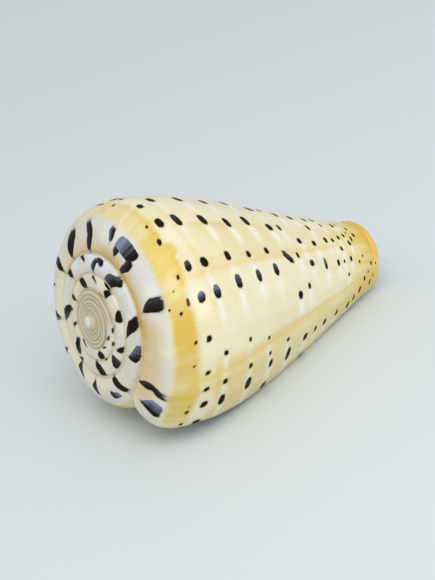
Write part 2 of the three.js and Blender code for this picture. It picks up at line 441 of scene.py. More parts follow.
def meshFrom(name, points, quads, triangles):
    mesh = bpy.data.meshes.new(name)
    corners = np.concatenate([quads.ravel(), triangles.ravel()])
    starts = np.concatenate([np.arange(len(quads)) * 4, len(quads) * 4 + np.arange(len(triangles)) * 3])
    mesh.vertices.add(len(points))
    mesh.vertices.foreach_set("co", points.ravel())
    mesh.loops.add(len(corners))
    mesh.loops.foreach_set("vertex_index", corners.astype(np.int32))
    mesh.polygons.add(len(starts))
    mesh.polygons.foreach_set("loop_start", starts.astype(np.int32))
    mesh.polygons.foreach_set("use_smooth", np.ones(len(starts), bool))
    mesh.update(calc_edges=True)
    mesh.validate()
    return mesh


points, marks, quads, triangles, corners = buildShell()
mesh = meshFrom("shell", layDown(points), quads, triangles)
shell = bpy.data.objects.new("shell", mesh)
bpy.context.collection.objects.link(shell)
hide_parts("cone_shell")
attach(shell, "root")
print("shell", len(points), "points", 2 * len(quads) + len(triangles), "triangles")


# Dark spots on the shoulder and side, row by row from the shoulder down: degrees back from
# the lip, place on the section, half length in degrees, half width in mm, then how much pale
# glaze lies over the spot and how brown it is, where there is any.
spots = [
    (66, 1.18, 0.7, 0.30, 0.0, 0.4), (62, 1.37, 0.8, 0.38),
    (73, 1.34, 0.6, 0.26), (18, 1.40, 0.3, 0.3, 0.0, 0.4),
    (2.5, 1.52, 0.9, 0.35, 0.0, 0.3), (11, 1.52, 1.2, 0.38, 0.0, 0.8),
    (14.7, 1.53, 0.4, 0.25, 0.0, 0.6),
    (36, 1.51, 0.35, 0.2), (46.4, 1.55, 0.8, 0.34),
    (64.5, 1.54, 1.8, 0.36, 0.0, 1.0), (76.7, 1.51, 1.1, 0.34, 0.0, 0.3),
    (96, 1.50, 1.8, 0.48, 0.0, 0.1), (107, 1.49, 0.9, 0.3), (135.5, 1.48, 0.9, 0.42),
    (1, 1.79, 1.4, 0.75), (12.4, 1.80, 1.8, 0.74), (21.2, 1.78, 1.2, 0.56), (29.5, 1.77, 1.1, 0.5),
    (44.7, 1.80, 1.5, 0.55), (63, 1.81, 2.6, 0.82, 0.95),
    (78, 1.77, 2.5, 0.68, 0.3), (104, 1.75, 3.2, 0.85),
    (120.4, 1.76, 2.1, 0.7), (137, 1.78, 1.8, 0.6),
    (11.5, 2.038, 3.1, 1.0), (21.9, 2.035, 1.3, 0.85),
    (35.8, 2.030, 1.3, 0.65), (63, 2.033, 3.2, 1.1, 0.8),
    (77.2, 2.024, 2.4, 1.15), (102.6, 2.022, 4.2, 1.1, 0.15), (124, 2.024, 3.2, 1.0),
    (14.2, 2.169, 3.6, 0.9), (24.4, 2.163, 1.4, 0.58),
    (37.9, 2.156, 1.1, 0.45), (65.3, 2.148, 3.4, 0.92, 0.4),
    (78.3, 2.144, 2.4, 0.78), (101, 2.137, 3.9, 0.92), (123, 2.144, 3.7, 0.85),
    (3.2, 2.277, 2.6, 0.8), (18.5, 2.275, 2.3, 0.62),
    (25.5, 2.262, 1.1, 0.42), (34.3, 2.252, 0.95, 0.4),
    (66, 2.249, 3.2, 0.72, 0.35), (77.8, 2.241, 1.9, 0.6),
    (98.6, 2.234, 3.7, 0.7), (121, 2.241, 3.6, 0.7),
    (16.3, 2.371, 4.6, 0.7), (26.8, 2.355, 1.2, 0.44),
    (67.4, 2.338, 3.6, 0.72, 0.3), (78.9, 2.330, 2.0, 0.6),
    (101, 2.325, 4.2, 0.76), (125, 2.34, 4.0, 0.7),
    (1, 2.475, 2.2, 0.7), (19.5, 2.459, 2.6, 0.78), (49.4, 2.427, 2.6, 0.68),
    (96.6, 2.413, 3.1, 0.8), (119.5, 2.42, 4.0, 0.8),
    (52.7, 2.480, 2.1, 0.46), (74, 2.468, 2.3, 0.42, 0.0, 0.15),
    (97, 2.458, 2.9, 0.46), (121, 2.466, 3.0, 0.45),
    (19.4, 2.516, 2.6, 0.44), (66.8, 2.523, 2.5, 0.7, 0.25),
    (84.7, 2.511, 2.5, 0.62), (116, 2.513, 3.8, 0.6),
    (18.3, 2.572, 2.7, 0.62), (64, 2.594, 4.8, 0.5, 0.8), (82.2, 2.579, 2.5, 0.62),
    (99.8, 2.607, 3.5, 0.44), (114.5, 2.573, 4.0, 0.6),
    (17, 2.649, 3.3, 0.56), (61.6, 2.669, 3.1, 0.5),
    (84.8, 2.651, 3.2, 0.52), (115, 2.640, 4.0, 0.5),
    (47.4, 2.720, 1.8, 0.36), (61.1, 2.708, 1.7, 0.36),
    (74.2, 2.718, 2.5, 0.52, 0.6), (84.3, 2.691, 2.4, 0.44),
    (106, 2.695, 3.0, 0.3), (117.5, 2.685, 4.5, 0.5),
    (13, 2.735, 4.3, 0.6), (61.5, 2.755, 3.0, 0.48), (87.3, 2.735, 2.7, 0.46),
    (16.5, 2.770, 4.0, 0.5), (90, 2.776, 2.8, 0.42),
    (79.5, 2.787, 3.6, 0.52, 0.3), (108, 2.765, 4.0, 0.5),
    (55, 2.811, 1.9, 0.38), (21.5, 2.812, 4.5, 0.56),
    (84.7, 2.817, 3.4, 0.44, 0.2), (94, 2.805, 2.0, 0.26),
    (112, 2.795, 3.0, 0.3), (32, 2.844, 3.0, 0.5),
    (60.3, 2.844, 1.6, 0.32, 0.0, 0.4), (90.2, 2.850, 3.5, 0.52),
    (102.5, 2.838, 3.0, 0.42), (38, 2.876, 2.4, 0.34, 0.0, 0.4), (47.3, 2.907, 2.8, 0.46, 0.0, 0.2),
    (21, 2.906, 4.5, 0.5), (44.3, 2.959, 2.0, 0.36, 0.0, 0.6), (29, 2.93, 2.5, 0.3, 0.0, 0.3),
]

# Round the hidden side the same rows go on, in files this many degrees apart. Degrees are off
# by up to the jitter, the slant moves the low rows back, and some spots are missing.
hidden = {
    "rows": [1.50, 1.78, 2.03, 2.145, 2.245, 2.335, 2.42, 2.465, 2.515, 2.58, 2.65, 2.70, 2.745,
             2.785, 2.82, 2.86],
    "from": 146.0,
    "to": 345.0,
    "apart": 21.0,
    "jitter": 3.0,
    "slant": 6.0,
    "missing": 0.16,
    "halfLength": (2.2, 1.6),  # degrees, and how much more by chance
    "halfWidth": (0.95, -0.6),  # mm at the top of the side, and the change over the side
    "topWidth": 0.45,  # mm in the row above the shoulder
    "glazeAbove": 0.6,
}

# Flames on the ramps, from the suture out to the ledge: knots of (degrees back from the lip,
# place on the section, half width in degrees), then glaze, and brownness where there is any.
# The last one is a slanting spot on the side.
flames = [
    ([(7.5, 0.46, 0.8), (9.5, 0.62, 2.2), (11, 0.82, 4.2), (10, 1.10, 4.7)], 0.85),
    ([(16, 0.06, 0.8), (20, 0.30, 2.0), (22, 0.52, 2.6), (23, 0.73, 2.0), (21, 0.95, 2.1),
      (20.5, 1.10, 2.2)], 0.1),
    ([(68, 0.36, 0.4), (70, 0.58, 2.4), (71, 0.80, 3.8), (70.5, 1.12, 4.1)], 0.1),
    ([(103, 0.02, 1.2), (101, 0.20, 2.4), (98.5, 0.50, 3.1), (99, 0.80, 3.0)], 0.1),
    ([(112.5, 0.34, 0.7), (113, 0.50, 2.3), (113, 0.70, 3.2)], 0.2),
    ([(107.5, 0.64, 8.0), (107, 0.85, 8.6), (106.5, 1.06, 8.8)], 0.85),
    ([(120.8, 0.65, 0.7), (121.5, 0.80, 2.0), (123.2, 0.95, 2.6), (124.2, 1.06, 2.3)], 0.5),
    ([(147.5, 0.02, 2.4), (144.5, 0.30, 3.1), (143, 0.58, 3.1), (145, 0.80, 3.4),
      (149, 1.04, 2.8)], 0.1),
    ([(176, 0.08, 1.6), (172, 0.35, 5.2), (169, 0.60, 6.2), (168, 0.82, 5.2),
      (167.5, 0.98, 3.0)], 0.0),
    ([(196.5, 0.13, 1.2), (197, 0.42, 3.4), (196.5, 0.66, 3.6), (200, 0.98, 2.8),
      (204, 1.16, 2.6)], 0.0),
    ([(215, 0.58, 0.8), (217.5, 0.80, 1.6), (221, 1.12, 1.2)], 0.0),
    ([(241, 0.20, 1.0), (239, 0.60, 3.6), (240, 1.04, 2.8)], 0.5),
    ([(266, 0.45, 0.8), (266, 0.75, 3.2), (264, 1.06, 3.4)], 0.3),
    ([(287, 0.04, 1.5), (290, 0.33, 4.0), (297, 0.56, 1.2)], 0.4),
    ([(314, 0.20, 1.0), (313, 0.55, 3.6), (316, 0.90, 2.4)], 0.2),
    ([(337, 0.58, 1.5), (341, 0.75, 5.0), (342, 0.95, 5.0)], 0.8),
    ([(347, 0.02, 3.0), (350, 0.25, 4.2), (353.5, 0.60, 3.4), (359, 0.97, 2.8)], 0.0),
    ([(389, 0.34, 0.8), (392.5, 0.58, 4.0), (396, 0.80, 6.5), (398, 0.98, 5.5)], 0.45),
    ([(404, 0.03, 1.5), (412, 0.22, 3.6), (417.5, 0.48, 5.2), (419, 0.70, 4.6),
      (422.5, 0.98, 5.0)], 0.0),
    ([(469, 0.02, 7.0), (467, 0.25, 6.8), (464.5, 0.50, 7.2), (461, 0.68, 7.0), (457, 0.84, 4.6),
      (458, 0.96, 3.6)], 0.3),
    ([(498, 0.08, 1.2), (497.5, 0.35, 3.0), (495.5, 0.62, 3.2), (490, 0.84, 4.2)], 0.3),
    ([(485.5, 0.55, 1.8), (487, 0.72, 4.0), (488.5, 0.90, 4.8)], 0.1),
    ([(513.5, 0.58, 1.0), (516, 0.76, 2.4), (519.5, 0.95, 2.8)], 0.0, 0.1),
    ([(543.5, 0.22, 1.3), (545.5, 0.50, 3.2), (547, 0.75, 3.6), (549.5, 0.98, 3.6)], 0.0),
    ([(585, 0.02, 3.5), (589.5, 0.20, 6.0), (593, 0.45, 6.5), (596, 0.70, 5.5),
      (597, 0.97, 5.0)], 0.15),
    ([(628, 0.02, 4.5), (636, 0.22, 6.5), (638, 0.42, 6.5), (640, 0.62, 3.6)], 0.1),
    ([(650, 0.50, 1.5), (648, 0.75, 3.2), (646, 0.97, 3.6)], 0.0, 0.1),
    ([(679, 0.03, 2.0), (685, 0.22, 5.5), (688, 0.45, 6.5), (691, 0.70, 6.0),
      (693, 0.95, 5.5)], 0.0),
    ([(706, 0.0, 4.0), (708, 0.08, 2.5)], 0.0),
    ([(729, 0.15, 2.2), (728, 0.40, 5.0), (726.5, 0.65, 6.5), (728, 0.96, 6.3)], 0.15),
    ([(744, 0.42, 1.5), (747, 0.65, 3.2), (750.5, 0.96, 4.0)], 0.0),
    ([(745, 0.0, 2.5), (750, 0.18, 2.2)], 0.0),
    ([(771, 0.02, 3.0), (777, 0.22, 2.8)], 0.0, 0.2),
    ([(784.5, 0.38, 1.8), (787.5, 0.62, 5.2), (789, 0.97, 7.2)], 0.0),
    ([(820, 0.22, 2.0), (822.5, 0.45, 4.8), (821.5, 0.68, 4.6), (818.5, 0.93, 3.2)], 0.0),
    ([(833, 0.0, 6.0), (837, 0.08, 3.0)], 0.0),
    ([(826, 0.86, 3.0), (829, 0.99, 7.0)], 0.0),
    ([(847.5, 0.54, 1.6), (853, 0.72, 3.0), (858.5, 0.92, 2.6)], 0.0, 0.3),
    ([(877, 0.03, 4.5), (879.5, 0.28, 6.8), (882.5, 0.52, 6.3), (885.5, 0.75, 5.2),
      (888, 0.93, 3.6)], 0.0, 0.1),
    ([(923, 0.12, 2.0), (923, 0.45, 3.8), (924.5, 0.92, 2.8)], 0.0, 0.3),
    ([(943.5, 0.45, 1.8), (944.5, 0.92, 3.6)], 0.0, 0.3),
    ([(965, 0.10, 2.0), (967, 0.50, 3.0), (969, 0.85, 2.0)], 0.0, 0.2),
    ([(992.5, 0.42, 2.5), (990.5, 0.94, 4.2)], 0.0, 0.3),
    ([(1000, 0.06, 3.0), (1006, 0.18, 5.0), (1015, 0.32, 3.5)], 0.0),
    ([(1059, 0.14, 2.5), (1060.5, 0.38, 7.5), (1062, 0.65, 8.0), (1063, 0.94, 5.5)], 0.0),
    ([(1076, 0.05, 2.5), (1082, 0.20, 4.0), (1088, 0.38, 2.5)], 0.0, 0.4),
    ([(1104, 0.08, 3.0), (1110, 0.30, 4.5), (1114, 0.58, 3.5)], 0.0, 0.8),
    ([(1106, 0.86, 3.5), (1106, 0.99, 3.0)], 0.0, 0.2),
    ([(1128, 0.78, 3.5), (1129, 0.97, 4.0)], 0.0, 0.2),
    ([(76.3, 2.400, 2.2), (73.5, 2.418, 3.6), (70.8, 2.436, 2.0)], 0.2),
]

# How square the marks are, and how much wider the flames are drawn than their knots say, on
# the last whorl and on the older ones.
boxiness = {"flame": 5.0, "spot": 2.4}
widened = {"from": 330.0, "last": 1.05, "older": 1.18}

# Pale dashes run on from the spots towards the lip, along the rows: degrees ahead of the spot
# over which they come and go, half width in mm, the rows that have them, and the least
# strength. Only points near the middle of the dash are worked out.
dash = {
    "comes": (-1.5, 2.0),
    "goes": (5.0, 17.0),
    "width": 0.85,
    "rows": (1.7, 2.8),
    "least": 0.35,
    "middle": 8.0,
    "reach": (22.0, 0.3),
}

# Millimetres for one unit of c, as the spots and the fine grain count them.
perPlace = {"shoulder": 10.5, "side": 62.0, "grainAbove": 10.0}


def mmPerPlace(c):
    # Short on the shoulder, long on the side.
    return perPlace["shoulder"] if c < 2.0 else perPlace["side"]


def hiddenSpots():
    # A file at a time, each spot drawn by five random numbers.
    random = np.random.default_rng(7)
    h = hidden
    drawn = []
    for file in np.arange(h["from"], h["to"], h["apart"]):
        for row in h["rows"]:
            draw = random.random(5)
            if draw[0] <= h["missing"]:
                continue
            low = max(0.0, row - 2.0)
            degrees = file + h["slant"] * low + (draw[1] - 0.5) * 2.0 * h["jitter"]
            half = h["halfLength"][0] + h["halfLength"][1] * draw[2]
            width = h["topWidth"] if row < 1.6 else h["halfWidth"][0] + h["halfWidth"][1] * low
            width *= 0.75 + 0.3 * draw[3]
            glaze = max(0.0, draw[4] - h["glazeAbove"])
            drawn.append((degrees, row + 0.012 * (draw[4] - 0.5), half, width, glaze, 0.0))
    return drawn


def listMarks():
    # Everything dark as (knots, boxiness, glaze, brown): flames as written but wider, and
    # spots as short upright pairs of knots. Then the spots alone, for their dashes.
    dark = []
    for knots, *looks in flames:
        glaze, brown = looks + [0.0] * (2 - len(looks))
        wide = [(degrees, c, half * widened["last" if degrees < widened["from"] else "older"])
                for degrees, c, half in knots]
        dark.append((wide, boxiness["flame"], glaze, brown))
    shown = [spot + (0.0,) * (6 - len(spot)) for spot in spots] + hiddenSpots()
    for degrees, c, half, width, glaze, brown in shown:
        reach = width / mmPerPlace(c)
        ends = [(degrees, c - reach, half), (degrees, c + reach, half)]
        dark.append((ends, boxiness["spot"], glaze, brown))
    return dark, shown


def placesOnMark(knots, back, c):
    # Along growth and across it, 1 at the mark's edge, then the mark's half width in mm.
    degrees, places, halves = np.array(knots).T
    mmPerDegree = growth["shoulder"] * sizeAt(-degrees.mean() / 360.0) * math.pi / 180.0
    half = np.interp(c, places, halves)
    along = (back - np.interp(c, places, degrees)) / half
    across = (c - (places[0] + places[-1]) / 2.0) / ((places[-1] - places[0]) / 2.0)
    return along, across, half * mmPerDegree


def paintMarks(t, c, where, faceOf, dark):
    # Every face takes the mark nearest to its middle, and its corners the places on that
    # mark. Faces far from any mark stay well outside one.
    back = -360.0 * t
    share = 1.0 / np.bincount(faceOf)
    backMiddle = np.bincount(faceOf, back) * share
    middle = np.bincount(faceOf, c) * share
    outer = np.bincount(faceOf, where) * share < 0.3
    best = np.full(len(share), 3.0)
    mark = np.tile([4.0, 4.0, 1.0], (len(t), 1))
    kind = np.tile([0.0, 0.0, boxiness["spot"]], (len(t), 1))
    picked = np.zeros(len(share), bool)
    reach = 24.0  # degrees either way
    for knots, boxy, glaze, brown in dark:
        degrees = np.mean([knot[0] for knot in knots])
        near = np.flatnonzero(outer & (np.abs(backMiddle - degrees) < reach))
        along, across, halfMm = placesOnMark(knots, backMiddle[near], middle[near])
        found = np.hypot(along, across)
        if boxy == boxiness["flame"]:
            found = np.maximum(np.abs(along), np.abs(across))
        closer = found < best[near]
        picked[:] = False
        picked[near[closer]] = True
        best[near[closer]] = found[closer]
        which = np.flatnonzero(picked[faceOf])
        mark[which] = np.stack(placesOnMark(knots, back[which], c[which]), -1)
        kind[which] = glaze, brown, boxy
    return mark, kind


def paintDashes(t, c, shown):
    # Each dash comes and goes by smooth steps along the row and by a bell curve across it.
    back = -360.0 * t
    total = np.zeros(len(t))
    for degrees, row, half, width, *others in shown:
        if not dash["rows"][0] < row < dash["rows"][1]:
            continue
        near = np.flatnonzero((np.abs(back - degrees + dash["middle"]) < dash["reach"][0])
                              & (np.abs(c - row) < dash["reach"][1]))
        ahead = degrees - half - back[near]
        length = rise(ahead, *dash["comes"]) * (1.0 - rise(ahead, *dash["goes"]))
        across = hump((c[near] - row) * mmPerPlace(row), 0.0, dash["width"])
        total[near] = np.maximum(total[near], length * across * min(1.0, dash["least"] + width))
    return total


# Stretches where a tone is stronger, as (from, to, how softly): in degrees back from the lip,
# and in places on the section.
toneAges = {
    "bandLower": (86.0, 93.0, 3.0),
    "bandHigher": (58.0, 71.0, 8.0),
    "sideMiddle": (34.0, 76.0, 4.0),
    "sideOlder": (76.0, 100.0, 4.0),
    "sideOldest": (100.0, 360.0, 12.0),
    # The next three are the ages of a painted highlight: bluish white on the whorl before the last and on
    # its ledge.
    "highlighted": (345.0, 700.0, 20.0),
    "mostHighlighted": (425.0, 580.0, 40.0),
    "highlightedLedge": (58.0, 156.0, 10.0),
    "richGroove": (50.0, 130.0, 30.0),
    "warmRamp": (8.0, 64.0, 14.0),
    "endRim": (55.0, 160.0, 30.0),
    # Ages over which the groove above the end rim gets painted shade.
    "endGrooveShade": (70.0, 150.0, 20.0),
    "warmShoulder": (33.0, 66.0, 8.0),
}
tonePlaces = {
    "bandFoot": (1.5, 1.95, 0.3),
    # Places of the painted highlight on the whorl before the last and on its ledge.
    "highlighted": (0.34, 0.98, 0.2),
    "highlightedLedge": (0.74, 1.12, 0.12),
    "warmRamp": (0.25, 0.9, 0.4),
    "warmShoulder": (1.2, 1.6, 0.25),
}
bareFrom = {"degrees": 1125.0, "wander": 12.0, "fade": 40.0}


def paintTones(t, c, where, shown):
    # Yellow, white and orange, each 0 to 1, from the place on the whorl and its age; white
    # goes on from 1 to 2 where a bluish-white highlight is painted on the shell.
    back = -360.0 * t

    def aged(name):
        return bump(back, *toneAges[name])

    def placed(name):
        return bump(c, *tonePlaces[name])

    # Golden band on the shoulder with uneven edges, weaker far back and close to the lip.
    drift = waves(back / 40.0, 3)
    lower = 1.60 + 0.05 * waves(back / 9.0, 5) + 0.12 * aged("bandLower") - 0.06 * aged("bandHigher")
    band = bump(c, 1.13 + 0.04 * drift, lower, 0.16) * (0.85 + 0.25 * waves(back / 6.0, 8))
    band = band * (1.05 - 0.40 * smooth((back - 95.0) / 20.0))
    band = band + 0.35 * placed("bandFoot") * (0.8 + 0.4 * waves(back / 5.0, 9))
    yellow = band * (1.0 - 0.35 * smooth((20.0 - back) / 18.0))

    # Yellow on the side, in patches, by age, and all over towards the narrow end.
    patches = 0.5 + 0.8 * waves(back / 7.0, 11) * waves(c * 12.0 + back / 25.0, 12)
    body = smooth((c - 1.85) / 0.15)
    byAge = 0.60 * (1.0 - smooth((back - 30.0) / 8.0)) + 0.22 * aged("sideMiddle")
    byAge = byAge + 0.42 * aged("sideOlder") + 0.30 * aged("sideOldest")
    yellow = yellow + body * (byAge * (0.45 + 0.9 * patches) + 0.06)
    yellow = yellow + 0.55 * smooth((c - 2.62) / 0.3)

    # White above the band and along the dashes, and a painted bluish-white highlight on the whorl before
    # the last and on its ledge.
    white = 0.8 * bump(c, 0.40 + 0.08 * drift, 1.12 + 0.03 * waves(back / 9.0, 21), 0.2)
    white = np.maximum(white, 0.9 * body * paintDashes(t, c, shown))
    paintedHighlight = (0.25 + 0.9 * aged("mostHighlighted")) * aged("highlighted") * placed("highlighted")
    paintedHighlight = paintedHighlight + 0.35 * aged("highlightedLedge") * placed("highlightedLedge")
    paintedHighlight = paintedHighlight * (0.75 + 0.35 * waves(back / 5.0, 51))

    # Orange beside the suture, at the narrow end with painted shade in the groove above its rim, and in a
    # patch on the shoulder.
    groove = (1.0 - smooth((c - 0.14) / 0.46)) * (0.50 + 0.48 * aged("richGroove"))
    groove = groove * (1.0 - 0.65 * smooth((back - 155.0) / 60.0))
    groove = groove + 0.45 * aged("warmRamp") * placed("warmRamp")
    rim = 0.30 * smooth((c - 2.82) / 0.10) + 0.75 * smooth((c - 2.93) / 0.04) * aged("endRim")
    # More orange along the groove above the end rim: painted shade in that groove.
    rim = rim + 0.30 * hump(c, 2.95, 0.02) * aged("endGrooveShade")
    patch = 0.42 * aged("warmShoulder") * placed("warmShoulder")
    orange = np.clip(groove + rim + patch, 0.0, 1.0)

    # Older whorls are paler, with a little orange at the suture; the oldest are bare.
    earlier = (back > 360.0) & (where < 0.4) & (c <= 1.0)
    yellow = np.where(earlier, 0.10 + 0.08 * drift, yellow)
    white = np.where(earlier, 0.55 + 0.25 * waves(back / 17.0, 41), white)
    orange = np.where(earlier, 0.20 * (1.0 - smooth((c - 0.05) / 0.3)) * (0.6 + 0.6 * drift), orange)

    # The edge and the inside are plain white.
    within = where > 0.4
    yellow = np.where(within, 0.05, yellow)
    white = np.where(within, 0.8, white)
    orange = np.where(within, 0.0, orange)
    tones = np.clip(np.stack([yellow, white, orange], -1), 0.0, 1.0)
    tones[:, 1] += np.where(within, 0.0, np.clip(paintedHighlight, 0.0, 1.0))
    return tones


def paintLines(t, c):
    # Degrees away from each growth-pause line.
    return np.stack([-360.0 * t - degreesOn(line, c) for line in (pauseLine, youngLine, oldLine)], -1)


def growthPlaces(t, c):
    # Degrees of growth, millimetres down the section, and how old and bare the whorl is.
    above = perPlace["grainAbove"]
    down = c * above + np.clip(c - 2.0, 0.0, None) * (perPlace["side"] - above)
    start = bareFrom["degrees"] + bareFrom["wander"] * np.sin(t * 40.0)
    bare = smooth((-360.0 * t - start) / bareFrom["fade"])
    return np.stack([-360.0 * t, down, bare], -1)


def paintShell():
    # The shader reads these at the corners of the faces, where a seam can have two values.
    dark, shown = listMarks()
    t, c, where = marks[corners].T
    ofQuads = np.repeat(np.arange(len(quads)), 4)
    ofTriangles = len(quads) + np.repeat(np.arange(len(triangles)), 3)
    mark, kind = paintMarks(t, c, where, np.concatenate([ofQuads, ofTriangles]), dark)
    painted = {
        "mark": mark,
        "kind": kind,
        "tones": paintTones(*marks.T, shown)[corners],
        "lines": paintLines(*marks.T[:2])[corners],
        "places": growthPlaces(*marks.T[:2])[corners],
    }
    for name, values in painted.items():
        layer = mesh.attributes.new(name, "FLOAT_VECTOR", "CORNER")
        layer.data.foreach_set("vector", values.astype(np.float32).ravel())
    print("markings painted:", len(dark), "dark marks")


paintShell()

tints = {
    "cream": (0.83, 0.80, 0.63),
    "yellow": (0.70, 0.51, 0.075),
    "ivory": (0.66, 0.63, 0.54),
    "chalk": (0.86, 0.86, 0.78),
    # Bluish white of the painted highlight on the whorl before the last.
    "paintedHighlight": (0.78, 0.82, 0.86),
    "orange": (0.69, 0.41, 0.06),
    "line": (0.76, 0.55, 0.16),
    # Bare centre: tan lies in the grooves between the threads as painted shade, paleTan on their crests.
    "tan": (0.42, 0.34, 0.20),
    "paleTan": (0.66, 0.59, 0.42),
    # Pale knob at the apex: partly its own pale colour, partly a painted highlight.
    "knob": (0.76, 0.76, 0.72),
    "black": (0.014, 0.009, 0.005),
    "brown": (0.16, 0.05, 0.015),
    "glaze": (0.27, 0.34, 0.44),
    "fringe": (0.60, 0.66, 0.74),
    "halo": (0.42, 0.30, 0.14),
}

# Grain of the surface: how fine by degree of growth and by mm down, detail and roughness.
grain = {
    "growthLines": (0.55, 0.03, 4.0, 0.62),
    "growthBands": (0.16, 0.02, 3.0, 0.5),
    "spiralLines": (0.02, 2.4, 3.0, 0.6),
    "clouds": (0.06, 0.16, 3.0, 0.55),
    "speckle": (0.9, 1.6, 3.0, 0.6),
    "wobble": (0.0, 0.35, 3.0, 0.6),
    "fineGrowth": (0.5, 0.03, 1.0, 0.5),
    "fineSpiral": (0.02, 2.0, 1.0, 0.5),
}

# Strength of a growth-pause line's core and of its glow, and the millimetres down the section
# from which and to which it shows.
lineLooks = [
    {"core": 0.38, "glow": 0.42, "from": 12.0, "to": 76.0},
    {"core": 0.35, "glow": 0.25, "from": 12.0, "to": 24.0},
    {"core": 0.18, "glow": 0.38, "from": 16.5, "to": 66.0},
]

# Dark marks: how ragged the edge is, and the millimetres out from it over which each part of
# a mark ends.
markLooks = {
    "ragged": 0.5,
    "speckled": 0.3,
    "solid": (-0.15, 0.12),
    "haze": (0.0, 0.45),
    "fringe": (0.1, 1.3),
    "veil": (-0.35, 0.20),
}

finish = {
    "roughness": 0.20, "cloudRoughness": 0.14, "bareRoughness": 0.25,
    "specular": 0.42, "markSpecular": 0.02,
    "coat": 0.32, "markCoat": 0.03, "coatRoughness": 0.08,
    "subsurface": 0.08, "subsurfaceRadius": (1.0, 0.7, 0.4), "subsurfaceScale": 0.0012,
    "cordsPerMm": 4.2, "cordsFrom": 52.0, "cordsFull": 74.0,
    "bump": 0.25, "bumpDepth": 0.00014,
}


